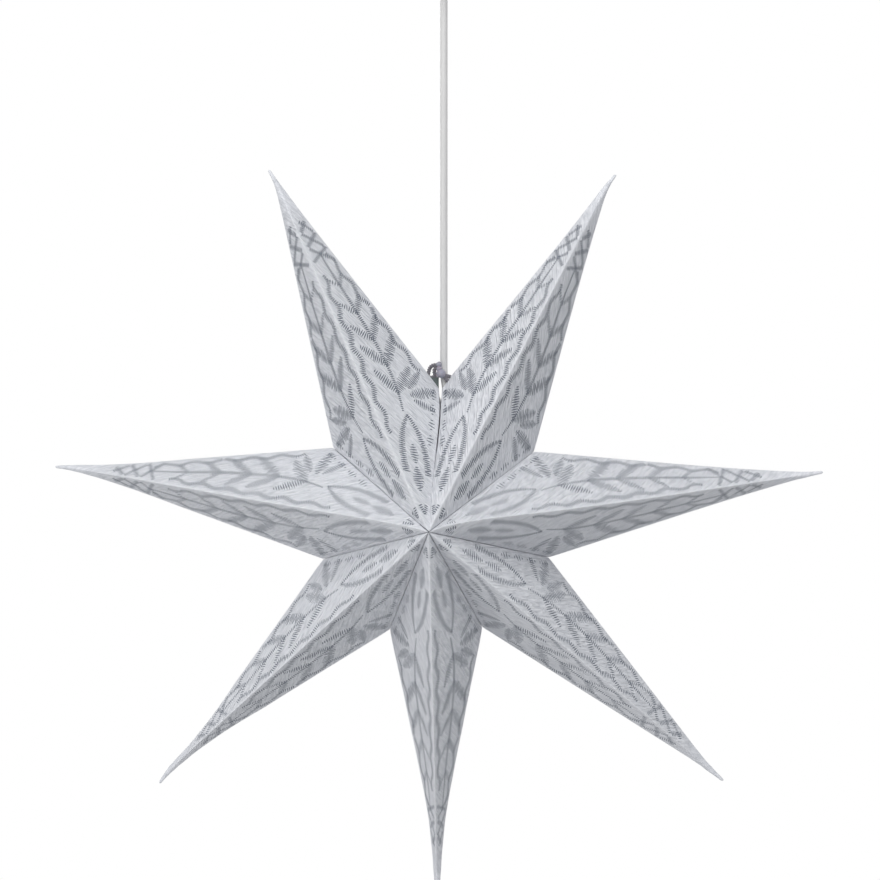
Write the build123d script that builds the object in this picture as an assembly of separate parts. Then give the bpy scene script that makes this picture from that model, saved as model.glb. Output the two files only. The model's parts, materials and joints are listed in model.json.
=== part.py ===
from build123d import *
import os
from itertools import combinations
from math import cos, radians, sin, sqrt

# Folded paper star lantern on its lamp cord, hung from a ceiling cup.
# Origin: on the ceiling, on the cord's axis. +Z is up and the star's front faces -Y. Sizes in millimetres.

# Star
STAR_DROP = 478.0              # ceiling to the star's centre
STAR_SHIFT_X = -6.5            # star's centre to the left of the cord
STAR_SHIFT_Y = -3.3            # star's middle plane in front of the cord
STAR_RADIUS = 300.0            # star's centre to the end of an arm's tip
STAR_DEPTH = 190.0             # front apex to back apex
VALLEY_RADIUS = 92.5           # star's centre to a valley's corner, on an evenly spread star
SEAM_RISE = 9.0                # how much further out the open seam's corner stands
SEAM_ANGLE = 2.1               # the open seam, clockwise from straight up, seen from the front
ARM_ANGLES = (27.1, 82.6, 132.1, 179.6, 226.6, 278.0, 334.6)   # as the arms hang, clockwise from straight up
PAPER = 0.4
FLAP_WIDTH = 12.0              # glue flap along an arm's open base
ARM_GAP = 0.3                  # between the flaps of neighbouring arms
TIP_OUT = 8.0                  # rolled tip, beyond where an arm's flat facets would meet
TIP_IN = 13.0                  # and short of there, where the facets end and the roll begins
TIP_PLUG = 3.0                 # glued solid behind the roll
TIP_SEAT = 1.0                 # the roll's root inside that plug
TIP_ROOT_R = 1.75
TIP_END_R = 1.3
CORD_HOLE_CLEARANCE = 2.2      # round the cord, where it enters the seam

# Supply cord
CORD_R = 2.85
CORD_TOP_Z = -10.0             # where the sheath ends, below the ceiling
WIRE_R = 0.8
WIRE_SPREAD = 1.2              # each wire beside the cord's axis
WIRE_BEND_R = 2.4
WIRE_RISE = 1.6                # straight stretch out of the sheath

# Tie string, on points beside the cord's axis and above the open seam's corner
STRING_R = 1.35
KNOT_R = 3.2
LOOP_LUMP_R = 2.2
KNOT_POINT = (-1.9, -6.5, 11.5)
LUMP_POINT = (-4.0, -5.6, 16.8)
LEFT_LEG = ((-6.4, -5.2, 17.0), (-9.8, -2.0, 16.4), (-9.0, 1.6, 13.2))
RIGHT_LEG = ((2.6, -5.6, 10.0), (4.6, -3.4, 11.2))
LEG_BEND_R = 2.0

# Lampholder
HOLDER_TOP_RISE = 62.0         # top of the cap's neck above the star's centre
HOLDER_R = 14.0
HOLDER_WALL = 1.8
NECK_R = 6.5
NECK_LENGTH = 10.0
CAP_CONE = 10.0                # height of the cap's slope
CAP_RIM = 6.0                  # height of the cap's straight rim
CAP_WALL = 1.8
CORD_SEAT = 9.0                # cord's length inside the neck
BODY_LENGTH = 36.0
INSERT_TOP = 4.0               # thickness of the insert's roof
INSERT_LENGTH = 30.0
INSERT_CLEARANCE = 0.1
SLEEVE_WALL = 0.8              # threaded side contact
SLEEVE_DROP = 4.0              # below the insert's roof
CONTACT_LENGTH = 10.0
CONTACT_WIDTH = 4.0
CONTACT_STRIP = 0.5
CONTACT_BOW = 1.6              # how far the centre contact bows down
GRIP_SCREW_R = 1.6
GRIP_SCREW_OUT = 1.2           # how far its head stands out of the neck

# Bulb
BULB_SHELL_R = 6.9             # crest of the screw shell
BULB_THREAD_DEPTH = 0.45
BULB_THREAD_PITCH = 2.82
BULB_THREAD_TURNS = 6
BULB_SHELL_WALL = 0.4
BULB_RIM = 4.0                 # plain rim of the shell, below its thread
BULB_CLEARANCE = 0.35          # shell's crest to the side contact
TIP_CONTACT_R = 2.4
TIP_CONTACT_H = 1.4
INSULATOR_H = 2.4
CONTACT_CLEARANCE = 0.3        # contact tip to the centre contact
GLOBE_R = 22.5
GLOBE_WALL = 0.8
GLOBE_NECK = 30.0              # globe's centre below the shell's rim
GLOBE_SHOULDER = 42.0          # where the neck's flare leaves the ball, degrees above its middle
STEM_R = 2.6
STEM_LENGTH = 16.0
FILAMENT_R = 0.9
FILAMENT_LENGTH = 20.0
FILAMENT_SPREAD = 5.0

# Ceiling fitting
BRACKET_LENGTH = 68.0
BRACKET_WIDTH = 30.0
BRACKET_SHEET = 1.5
HOLE_SPACING = 50.0            # ceiling screw holes
HOLE_R = 2.25
LUG_WIDTH = 24.0
LUG_HEIGHT = 22.0
LUG_WINDOW_WIDTH = 6.0         # the wires pass here
LUG_WINDOW_HEIGHT = 8.5
CLAMP_HEIGHT = 8.0
CLAMP_DEPTH = 5.0
CLAMP_NIP = 2.5                # gap between the clamp and the lug
CLAMP_Z = -17.0
CLAMP_SCREW_SPACING = 16.0
CLAMP_SCREW_R = 1.5
CLAMP_SCREW_HEAD_R = 2.75
CLAMP_SCREW_HEAD_H = 1.8
CLAMP_SCREW_CLEARANCE = 0.1
SLOT_WIDTH = 0.8
SLOT_DEPTH = 0.9
BLOCK_LENGTH = 22.0            # terminal block
BLOCK_WIDTH = 10.0
BLOCK_HEIGHT = 12.0
BLOCK_GAP = 0.3                # behind the lug
BLOCK_SCREW_R = 1.9
BLOCK_SCREW_DEPTH = 4.0
CUP_TOP_R = 42.0
CUP_TAPER = 2.0                # how much narrower the cup is at its shoulder
CUP_HEIGHT = 54.0
CUP_SHOULDER_R = 16.0
CUP_WALL = 2.0
CUP_CEILING_GAP = 0.3
BUSH_R = 6.0
BUSH_FLANGE_R = 9.5
BUSH_FLANGE_H = 2.0
BUSH_DROP = 9.0                # bush below the cup
BUSH_CLEARANCE = 0.2
SET_SCREW_R = 1.6
SET_SCREW_OUT = 2.2            # how far its head stands out of the bush

TOLERANCE = 1e-6
STAR_CENTRE = Vector(STAR_SHIFT_X, STAR_SHIFT_Y, -STAR_DROP)
HALF_DEPTH = STAR_DEPTH / 2
FACET_REACH = STAR_RADIUS - TIP_OUT
TIP_START = FACET_REACH - TIP_IN
ARM_COUNT = len(ARM_ANGLES)
CORD_HOLE_R = CORD_R + CORD_HOLE_CLEARANCE


def save(shape, node):
    """Writes one piece to its own file."""
    shape.label = node
    export_step(shape, f"parts/{node}.step")


def outwards(angle):
    """Unit vector in the star's middle plane, clockwise from straight up as seen from the front."""
    return Vector(sin(radians(angle)), 0, cos(radians(angle)))


def lathe(*points):
    """Solid of revolution about the cord's axis, from (radius, height) corners of a closed outline."""
    outline = Polyline(*[(radius, 0, height) for radius, height in points], close=True)
    return revolve(make_face(outline), Axis.Z, 360)


def rod(start, end, radius):
    """Round bar between two points."""
    start, end = Vector(*start), Vector(*end)
    return Solid.extrude(Face(Wire.make_circle(radius, Plane(start, z_dir=end - start))), end - start)


# Folded arms: each arm is bounded by four facets and, at its open base, by the two valley planes.

def plane_towards(inside, *corners):
    """Plane through three corners as a unit normal that points to the inside, and its distance."""
    normal = (corners[1] - corners[0]).cross(corners[2] - corners[0]).normalized()
    if normal.dot(inside - corners[0]) < 0:
        normal = -normal
    return normal, normal.dot(corners[0])


def pushed_in(planes, depth):
    """The same planes, moved inwards."""
    return [(normal, distance + depth) for normal, distance in planes]


def solid_between(planes):
    """Convex solid on the inner side of all the planes."""
    corners = []
    for (n1, d1), (n2, d2), (n3, d3) in combinations(planes, 3):
        det = n1.dot(n2.cross(n3))
        if abs(det) < TOLERANCE:
            continue
        corner = (n2.cross(n3) * d1 + n3.cross(n1) * d2 + n1.cross(n2) * d3) * (1 / det)
        inside_all = all(normal.dot(corner) > distance - TOLERANCE for normal, distance in planes)
        if inside_all and all((corner - other).length > 100 * TOLERANCE for other in corners):
            corners.append(corner)
    return ConvexPolyhedron(corners)


def valley_corner(angle_before, angle_after):
    """Corner between two arms whose side folds keep the length that an evenly spread star gives them."""
    even = radians(180 / ARM_COUNT)
    fold_squared = FACET_REACH**2 + VALLEY_RADIUS**2 - 2 * FACET_REACH * VALLEY_RADIUS * cos(even)
    half_gap = radians((angle_after - angle_before) / 2)
    reach = FACET_REACH * cos(half_gap) - sqrt(fold_squared - (FACET_REACH * sin(half_gap))**2)
    return reach, (angle_before + angle_after) / 2


def arm(angle, left_valley, right_valley, at_seam):
    """Paper pocket of one arm, around the star's centre."""
    along = outwards(angle)
    front, back, apex = Vector(0, -HALF_DEPTH, 0), Vector(0, HALF_DEPTH, 0), along * FACET_REACH
    middle = along * VALLEY_RADIUS
    facets, bases, flap_lines = [], [], []
    for valley in (left_valley, right_valley):
        base = plane_towards(middle, front, valley, back)
        bases.append(base)
        for end in (front, back):
            facet = plane_towards(middle, end, valley, apex)
            facets.append(facet)
            flap_depth = FLAP_WIDTH * facet[0].cross(base[0]).length
            flap_lines += pushed_in([facet], flap_depth)
    cut_off, plug = (-along, -TIP_START), (-along, TIP_PLUG - TIP_START)
    outside = solid_between(facets + pushed_in(bases, ARM_GAP / 2) + [cut_off])
    hollow = solid_between(pushed_in(facets, PAPER) + pushed_in(bases, ARM_GAP / 2 + PAPER) + [plug])
    mouth = solid_between(flap_lines + pushed_in(bases, -FLAP_WIDTH))
    tip_root = Plane(along * (TIP_START - TIP_SEAT), z_dir=along)
    from_root = (Align.CENTER, Align.CENTER, Align.MIN)
    roll_length = TIP_SEAT + TIP_IN + TIP_OUT
    rolled_tip = tip_root * Cone(TIP_ROOT_R, TIP_END_R, roll_length, align=from_root)
    pocket = Pos(*STAR_CENTRE) * (outside - hollow - mouth + rolled_tip)
    if at_seam:
        pocket -= Pos(0, 0, -STAR_DROP) * Cylinder(CORD_HOLE_R, 2 * STAR_RADIUS)
    return pocket


valleys = []
for before, after in zip(ARM_ANGLES, ARM_ANGLES[1:]):
    reach, direction = valley_corner(before, after)
    valleys.append(outwards(direction) * reach)
seam_reach, _ = valley_corner(ARM_ANGLES[-1] - 360, ARM_ANGLES[0])
seam_corner = outwards(SEAM_ANGLE) * (seam_reach + SEAM_RISE)
arm_sides = [seam_corner] + valleys + [seam_corner]

# Tie string: one loop, knotted in front of the cord, with a leg to each of the two seam arms.

def above_seam(point):
    """Point beside the cord's axis, measured up from the open seam's corner."""
    return (point[0], point[1], point[2] + seam_corner.Z - STAR_DROP)


def string_leg(points):
    """Round string from the knot along its points."""
    route = FilletPolyline(*[above_seam(p) for p in (KNOT_POINT, *points)], radius=LEG_BEND_R)
    return sweep(Plane(route @ 0, z_dir=route % 0) * Circle(STRING_R), route)


tie_string = Pos(*above_seam(KNOT_POINT)) * Sphere(KNOT_R)
tie_string += Pos(*above_seam(LUMP_POINT)) * Sphere(LOOP_LUMP_R)
tie_string += string_leg(LEFT_LEG)
tie_string += string_leg(RIGHT_LEG)

# Lampholder, from the top of the cap's neck downwards

neck_top = HOLDER_TOP_RISE - STAR_DROP
cone_top = neck_top - NECK_LENGTH
rim_top = cone_top - CAP_CONE
body_top = rim_top - CAP_RIM
body_foot = body_top - BODY_LENGTH
cord_foot = neck_top - CORD_SEAT
grip_z = neck_top - NECK_LENGTH / 2

supply_cord = rod((0, 0, cord_foot), (0, 0, CORD_TOP_Z), CORD_R)

holder_cap = lathe(
    (CORD_R, neck_top), (NECK_R, neck_top), (NECK_R, cone_top), (HOLDER_R, rim_top), (HOLDER_R, body_top),
    (HOLDER_R - CAP_WALL, body_top), (HOLDER_R - CAP_WALL, rim_top), (CORD_R, cone_top))
grip_hole = rod((0, 0, grip_z), (NECK_R + GRIP_SCREW_OUT, 0, grip_z), GRIP_SCREW_R)
holder_cap -= grip_hole
holder_grip_screw = grip_hole - supply_cord
screw_slot = Box(SLOT_DEPTH, 2 * GRIP_SCREW_R, SLOT_WIDTH, align=(Align.MAX, Align.CENTER, Align.CENTER))
holder_grip_screw -= Pos(NECK_R + GRIP_SCREW_OUT, 0, grip_z) * screw_slot

holder_body = lathe(
    (HOLDER_R, body_top), (HOLDER_R, body_foot), (HOLDER_R - HOLDER_WALL, body_foot),
    (HOLDER_R - HOLDER_WALL, body_top))

sleeve_inner_r = BULB_SHELL_R + BULB_CLEARANCE
sleeve_outer_r = sleeve_inner_r + SLEEVE_WALL
insert_r = HOLDER_R - HOLDER_WALL - INSERT_CLEARANCE
roof_z = body_top - INSERT_TOP
insert_foot = body_top - INSERT_LENGTH
holder_insert = lathe(
    (0, body_top), (insert_r, body_top), (insert_r, insert_foot), (sleeve_outer_r, insert_foot),
    (sleeve_outer_r, roof_z), (0, roof_z))
sleeve_top = roof_z - SLEEVE_DROP
side_contact = lathe(
    (sleeve_inner_r, sleeve_top), (sleeve_outer_r, sleeve_top), (sleeve_outer_r, insert_foot),
    (sleeve_inner_r, insert_foot))

half_contact = CONTACT_LENGTH / 2
bow = ThreePointArc((-half_contact, 0), (0, -CONTACT_BOW), (half_contact, 0))
bow_under = ThreePointArc((-half_contact, -CONTACT_STRIP), (0, -CONTACT_BOW - CONTACT_STRIP),
                          (half_contact, -CONTACT_STRIP))
strip_side = make_face([bow, Line(bow @ 1, bow_under @ 1), bow_under, Line(bow_under @ 0, bow @ 0)])
strip_plane = Plane((0, 0, roof_z), x_dir=(1, 0, 0), z_dir=(0, -1, 0))
centre_contact = extrude(strip_plane * strip_side, CONTACT_WIDTH / 2, both=True)

# Bulb, from its contact tip downwards

tip_top = roof_z - CONTACT_BOW - CONTACT_STRIP - CONTACT_CLEARANCE
insulator_top = tip_top - TIP_CONTACT_H
shell_top = insulator_top - INSULATOR_H
rim_z = shell_top - BULB_THREAD_TURNS * BULB_THREAD_PITCH
shell_foot = rim_z - BULB_RIM
root_r = BULB_SHELL_R - BULB_THREAD_DEPTH
shell_inner_r = root_r - BULB_SHELL_WALL
globe_z = shell_foot - GLOBE_NECK

bulb_tip = lathe((0, tip_top), (TIP_CONTACT_R, insulator_top + TIP_CONTACT_H / 2),
                 (TIP_CONTACT_R, insulator_top), (0, insulator_top))
bulb_insulator = lathe((0, insulator_top), (TIP_CONTACT_R, insulator_top), (root_r, shell_top),
                       (0, shell_top))
thread = [(root_r, shell_top)]
for turn in range(BULB_THREAD_TURNS):
    groove_z = shell_top - turn * BULB_THREAD_PITCH
    thread += [(BULB_SHELL_R, groove_z - BULB_THREAD_PITCH / 2), (root_r, groove_z - BULB_THREAD_PITCH)]
bulb_shell = lathe(*thread, (root_r, shell_foot), (shell_inner_r, shell_foot), (shell_inner_r, shell_top))


def globe_outline(wall):
    """Half section of the globe and its neck, drawn in by a wall."""
    ball_r = GLOBE_R - wall
    neck_r = shell_inner_r - wall
    neck_top_z = rim_z - wall
    flare_z = shell_foot - wall
    ball = JernArc((0, globe_z - ball_r), (1, 0), ball_r, 90 + GLOBE_SHOULDER)
    flare = Spline(ball @ 1, (neck_r, flare_z), tangents=(ball % 1, (0, 1)))
    neck = Polyline((neck_r, flare_z), (neck_r, neck_top_z), (0, neck_top_z), (0, globe_z - ball_r))
    return Plane.XZ * make_face([ball, flare, neck])


globe_solid = revolve(globe_outline(0), Axis.Z, 360)
bulb_globe = globe_solid - revolve(globe_outline(GLOBE_WALL), Axis.Z, 360)

stem_top = rim_z - GLOBE_WALL
stem_foot = stem_top - STEM_LENGTH
bulb_stem = rod((0, 0, stem_top), (0, 0, stem_foot), STEM_R)
filament_top = stem_foot + FILAMENT_R
filament_root_r = STEM_R + FILAMENT_R
filaments = []
for side in (-1, 1):
    root = (side * filament_root_r, 0, filament_top)
    foot = (side * (filament_root_r + FILAMENT_SPREAD), 0, filament_top - FILAMENT_LENGTH)
    filaments.append(rod(root, foot, FILAMENT_R))

# Ceiling fitting

bracket = Box(BRACKET_LENGTH, BRACKET_WIDTH, BRACKET_SHEET, align=(Align.CENTER, Align.CENTER, Align.MAX))
for side in (-1, 1):
    bracket -= Pos(side * HOLE_SPACING / 2, 0, 0) * Cylinder(HOLE_R, 4 * BRACKET_SHEET)
lug_block = (Align.CENTER, Align.MIN, Align.MAX)
bracket += Pos(0, CORD_R, 0) * Box(LUG_WIDTH, BRACKET_SHEET, LUG_HEIGHT, align=lug_block)
lug_window = Box(LUG_WINDOW_WIDTH, BRACKET_SHEET, LUG_WINDOW_HEIGHT, align=lug_block)
bracket -= Pos(0, CORD_R, -BRACKET_SHEET) * lug_window

clamp_back = CORD_R - CLAMP_NIP
clamp_front = clamp_back - CLAMP_DEPTH
lug_back = CORD_R + BRACKET_SHEET
clamp_block = Box(LUG_WIDTH, CLAMP_DEPTH, CLAMP_HEIGHT, align=(Align.CENTER, Align.MAX, Align.CENTER))
cord_clamp = Pos(0, clamp_back, CLAMP_Z) * clamp_block - supply_cord
clamp_screws = []
for side in (-1, 1):
    x = side * CLAMP_SCREW_SPACING / 2
    shank = rod((x, clamp_front, CLAMP_Z), (x, lug_back, CLAMP_Z), CLAMP_SCREW_R)
    head_front = clamp_front - CLAMP_SCREW_HEAD_H
    head = rod((x, head_front, CLAMP_Z), (x, clamp_front, CLAMP_Z), CLAMP_SCREW_HEAD_R)
    slot = Box(2 * CLAMP_SCREW_HEAD_R, SLOT_DEPTH, SLOT_WIDTH, align=(Align.CENTER, Align.MIN, Align.CENTER))
    clamp_screws.append(head + shank - Pos(x, head_front, CLAMP_Z) * slot)
    bracket -= shank
    hole_r = CLAMP_SCREW_R + CLAMP_SCREW_CLEARANCE
    cord_clamp -= rod((x, clamp_front, CLAMP_Z), (x, clamp_back, CLAMP_Z), hole_r)

block_front = lug_back + BLOCK_GAP
block_z = -BRACKET_SHEET
block_middle_y = block_front + BLOCK_WIDTH / 2
block_foot = block_z - BLOCK_HEIGHT
terminal_block = Pos(0, block_front, block_z) * Box(BLOCK_LENGTH, BLOCK_WIDTH, BLOCK_HEIGHT, align=lug_block)
terminal_screws = []
supply_wires = []
for side in (-1, 1):
    x = side * BLOCK_LENGTH / 4
    screw_foot = (x, block_middle_y, block_foot)
    screw_top = (x, block_middle_y, block_foot + BLOCK_SCREW_DEPTH)
    screw_hole = rod(screw_foot, screw_top, BLOCK_SCREW_R)
    terminal_block -= screw_hole
    slot = Box(2 * BLOCK_SCREW_R, SLOT_WIDTH, SLOT_DEPTH, align=(Align.CENTER, Align.CENTER, Align.MIN))
    terminal_screws.append(screw_hole - Pos(*screw_foot) * slot)
    wire_x = side * WIRE_SPREAD
    wire_z = CORD_TOP_Z + WIRE_RISE + WIRE_BEND_R
    wire_route = FilletPolyline((wire_x, 0, CORD_TOP_Z), (wire_x, 0, wire_z), (wire_x, block_front, wire_z),
                                radius=WIRE_BEND_R)
    supply_wires.append(sweep(Plane(wire_route @ 0, z_dir=wire_route % 0) * Circle(WIRE_R), wire_route))

cup_foot = -CUP_HEIGHT
shoulder_z = cup_foot + CUP_SHOULDER_R


def cup_outline(wall):
    """Half section of the cup's outside, drawn in by a wall."""
    top_r = CUP_TOP_R - wall
    shoulder_r = CUP_TOP_R - CUP_TAPER - wall
    bend_r = CUP_SHOULDER_R - wall
    side = Line((top_r, -CUP_CEILING_GAP), (shoulder_r, shoulder_z))
    bend = RadiusArc(side @ 1, (shoulder_r - bend_r, shoulder_z - bend_r), bend_r)
    floor = Polyline(bend @ 1, (0, cup_foot + wall), (0, -CUP_CEILING_GAP), side @ 0)
    return Plane.XZ * make_face([side, bend, floor])


ceiling_cup = revolve(cup_outline(0), Axis.Z, 360) - revolve(cup_outline(CUP_WALL), Axis.Z, 360)
ceiling_cup -= Pos(0, 0, cup_foot) * Cylinder(BUSH_R, 4 * CUP_WALL)

bush_bore = CORD_R + BUSH_CLEARANCE
bush_seat = cup_foot + CUP_WALL
bush_foot = cup_foot - BUSH_DROP
set_screw_z = cup_foot - BUSH_DROP / 2
flange_top = bush_seat + BUSH_FLANGE_H
cup_bush = lathe(
    (bush_bore, flange_top), (BUSH_FLANGE_R, flange_top), (BUSH_FLANGE_R, bush_seat),
    (BUSH_R, bush_seat), (BUSH_R, bush_foot), (bush_bore, bush_foot))
set_screw_hole = rod((0, 0, set_screw_z), (BUSH_R + SET_SCREW_OUT, 0, set_screw_z), SET_SCREW_R)
set_screw_hole -= rod((0, 0, bush_foot), (0, 0, cup_foot), bush_bore)
cup_bush -= set_screw_hole
set_slot = Box(SLOT_DEPTH, 2 * SET_SCREW_R, SLOT_WIDTH, align=(Align.MAX, Align.CENTER, Align.CENTER))
cup_set_screw = set_screw_hole - Pos(BUSH_R + SET_SCREW_OUT, 0, set_screw_z) * set_slot

# Files, one for each piece

os.makedirs("parts", exist_ok=True)
for number, angle in enumerate(ARM_ANGLES, 1):
    at_seam = number in (1, ARM_COUNT)
    save(arm(angle, arm_sides[number - 1], arm_sides[number], at_seam), f"arm_{number}")
save(tie_string, "tie_string")
save(supply_cord, "supply_cord")
save(holder_cap, "holder_cap")
save(holder_grip_screw, "holder_grip_screw")
save(holder_body, "holder_body")
save(holder_insert, "holder_insert")
save(side_contact, "side_contact")
save(centre_contact, "centre_contact")
save(bulb_tip, "bulb_tip")
save(bulb_insulator, "bulb_insulator")
save(bulb_shell, "bulb_shell")
save(bulb_globe, "bulb_globe")
save(bulb_stem, "bulb_stem")
save(bracket, "ceiling_bracket")
save(cord_clamp, "cord_clamp")
save(terminal_block, "terminal_block")
save(ceiling_cup, "ceiling_cup")
save(cup_bush, "cup_bush")
save(cup_set_screw, "cup_set_screw")
for number in (1, 2):
    save(filaments[number - 1], f"bulb_filament_{number}")
    save(clamp_screws[number - 1], f"clamp_screw_{number}")
    save(terminal_screws[number - 1], f"terminal_screw_{number}")
    save(supply_wires[number - 1], f"supply_wire_{number}")
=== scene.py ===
import json
from math import atan2, cos, pi, radians, sin, sqrt, tau

import bpy
import numpy as np
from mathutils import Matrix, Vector


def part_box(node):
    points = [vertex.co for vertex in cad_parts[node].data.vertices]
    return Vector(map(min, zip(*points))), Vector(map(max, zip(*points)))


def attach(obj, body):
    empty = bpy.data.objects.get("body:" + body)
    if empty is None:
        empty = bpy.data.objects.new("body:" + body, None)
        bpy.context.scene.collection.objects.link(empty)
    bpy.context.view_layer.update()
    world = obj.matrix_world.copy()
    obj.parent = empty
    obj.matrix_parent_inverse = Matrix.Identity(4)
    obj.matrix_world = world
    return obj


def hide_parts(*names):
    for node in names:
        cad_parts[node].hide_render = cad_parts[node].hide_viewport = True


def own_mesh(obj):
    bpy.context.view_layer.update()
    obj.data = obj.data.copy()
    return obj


# Folded paper star lantern on its lamp cord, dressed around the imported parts.
# Metres, +Z up, the origin on the ceiling on the cord's axis. The star's front faces -Y.

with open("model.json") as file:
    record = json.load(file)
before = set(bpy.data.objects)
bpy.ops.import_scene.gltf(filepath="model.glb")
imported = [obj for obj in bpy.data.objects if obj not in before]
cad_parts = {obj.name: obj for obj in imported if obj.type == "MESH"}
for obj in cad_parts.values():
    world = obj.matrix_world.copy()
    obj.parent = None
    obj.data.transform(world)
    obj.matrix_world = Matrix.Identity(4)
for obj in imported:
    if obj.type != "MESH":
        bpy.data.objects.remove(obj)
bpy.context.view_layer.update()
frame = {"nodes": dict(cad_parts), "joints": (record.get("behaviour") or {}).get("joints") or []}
nodes = frame["nodes"]
bpy.context.scene.view_settings.view_transform = "Standard"


# Ceiling bracket
# A strap of zinc-plated sheet steel with a bent-down lug. Two screws hold it to the ceiling, and a clamp on
# the lug grips the cord. Bracket, clamp and screws share one finish.

def linear(code):
    """sRGB hex colour as linear RGBA."""
    channels = [int(code[i:i + 2], 16) / 255 for i in (0, 2, 4)]
    return [c / 12.92 if c <= 0.04045 else ((c + 0.055) / 1.055) ** 2.4 for c in channels] + [1.0]


def new_material(name):
    """Empty node material."""
    material = bpy.data.materials.new(name)
    material.use_nodes = True
    material.node_tree.nodes.clear()
    return material


def add_node(material, kind, inputs=(), **settings):
    """Adds one node with its settings, its input values and the links into it."""
    node = material.node_tree.nodes.new(kind)
    for name, value in settings.items():
        setattr(node, name, value)
    for name, value in dict(inputs).items():
        if isinstance(value, bpy.types.NodeSocket):
            material.node_tree.links.new(value, node.inputs[name])
        else:
            node.inputs[name].default_value = value
    return node


def dress(material, *names):
    """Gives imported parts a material."""
    for name in names:
        nodes[name].data.materials.clear()
        nodes[name].data.materials.append(material)


def uneven_tone(material, size, dark, light, detail=2.0):
    """Noise of a real size all over a piece, and the colour that it mixes from two tones."""
    place = add_node(material, "ShaderNodeTexCoord")
    noise = add_node(material, "ShaderNodeTexNoise",
                     {"Vector": place.outputs["Object"], "Scale": 1 / size, "Detail": detail})
    tone = add_node(material, "ShaderNodeMix", {0: noise.outputs["Fac"], 6: linear(dark), 7: linear(light)},
                    data_type="RGBA")
    return noise.outputs["Fac"], tone.outputs[2]


# Zinc plating on rolled steel: a cool grey metal with a faint cloudy spangle of about 4 mm.
spangle = 0.004
zinc_steel = new_material("zinc_plated_steel_rolled")
clouds, tone = uneven_tone(zinc_steel, spangle, "9fa4a8", "c5c9cc", detail=3.0)
gloss = add_node(zinc_steel, "ShaderNodeMapRange", {"Value": clouds, "To Min": 0.26, "To Max": 0.44})
metal = add_node(zinc_steel, "ShaderNodeBsdfPrincipled",
                 {"Base Color": tone, "Metallic": 1.0, "Roughness": gloss.outputs["Result"]})
add_node(zinc_steel, "ShaderNodeOutputMaterial", {"Surface": metal.outputs["BSDF"]})
dress(zinc_steel, "ceiling_bracket", "cord_clamp", "clamp_screw_1", "clamp_screw_2", "terminal_screw_1",
      "terminal_screw_2", "holder_grip_screw", "cup_set_screw")


# Terminal block
# A moulded block that sits behind the lug and joins the cord's two wires to the house wiring.

# Polyamide, moulded: milky ivory, a little translucent, with a fine eroded texture from the tool and clouds of
# about 8 mm.
tool_grit = 0.0006
ivory_cloud = 1 / 120
polyamide = new_material("polyamide_moulded_ivory")
place = add_node(polyamide, "ShaderNodeTexCoord")
grit = add_node(polyamide, "ShaderNodeTexNoise", {"Vector": place.outputs["Object"], "Scale": 1 / tool_grit})
relief = add_node(polyamide, "ShaderNodeBump",
                  {"Height": grit.outputs["Fac"], "Strength": 0.25, "Distance": 0.00005})
_, tone = uneven_tone(polyamide, ivory_cloud, "e0dac8", "ece8da")
plastic = add_node(polyamide, "ShaderNodeBsdfPrincipled",
                   {"Base Color": tone, "Roughness": 0.42, "IOR": 1.53, "Subsurface Weight": 0.08,
                    "Subsurface Scale": 0.002, "Normal": relief.outputs["Normal"]})
add_node(polyamide, "ShaderNodeOutputMaterial", {"Surface": plastic.outputs["BSDF"]})
dress(polyamide, "terminal_block")


# Supply wires
# Two short stranded wires out of the cord's sheath, one brown and one blue, bent back into the terminal block.

# PVC insulation, extruded: satin, one brown and one blue, each with a faint fine mottle.
mottle_size = 0.0004
for node_name, dark, light in (("supply_wire_1", "4a2a17", "5e3a22"), ("supply_wire_2", "1d3f86", "2b529e")):
    wire_pvc = new_material("pvc_insulation_extruded_" + node_name[-1])
    _, tone = uneven_tone(wire_pvc, mottle_size, dark, light, detail=1.0)
    skin = add_node(wire_pvc, "ShaderNodeBsdfPrincipled", {"Base Color": tone, "Roughness": 0.38, "IOR": 1.53})
    add_node(wire_pvc, "ShaderNodeOutputMaterial", {"Surface": skin.outputs["BSDF"]})
    dress(wire_pvc, node_name)


# Supply cord
# A round two-core lamp cord. The clamp in the ceiling cup holds its top, and the lamp and the star pull it
# straight, down through the star's open seam, where the string nudges it aside, into the lampholder's neck.

cord_radius = 0.00285
cord_low, cord_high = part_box("supply_cord")
cord_foot = Vector((0, 0, cord_low.z))
cord_top = Vector((0, 0, cord_high.z))
nudge = 0.0018                 # how far the knot pushes the cord to the right
cord_route = [cord_foot, Vector((0.0004, 0, -0.408)), Vector((nudge, 0, -0.390)), Vector((nudge, 0, -0.3765)),
              Vector((0, 0, -0.3665)), Vector((0, 0, -0.35)), Vector((0, 0, -0.32)), cord_top]


def nurbs_curve(name, points):
    """Smooth curve on control points."""
    curve = bpy.data.curves.new(name, "CURVE")
    curve.dimensions = "3D"
    spline = curve.splines.new("NURBS")
    spline.points.add(len(points) - 1)
    for control, point in zip(spline.points, points):
        control.co = (*point, 1)
    spline.order_u = 3
    spline.use_endpoint_u = True
    spline.resolution_u = 16
    return curve


def add_object(name, data):
    """Puts a curve, mesh, light or camera into the scene."""
    obj = bpy.data.objects.new(name, data)
    bpy.context.scene.collection.objects.link(obj)
    return obj


cord_curve = nurbs_curve("lamp_cord", cord_route)
cord_curve.bevel_depth = cord_radius
cord_curve.bevel_resolution = 8
cord_curve.use_fill_caps = True
lamp_cord = add_object("lamp_cord", cord_curve)

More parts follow.
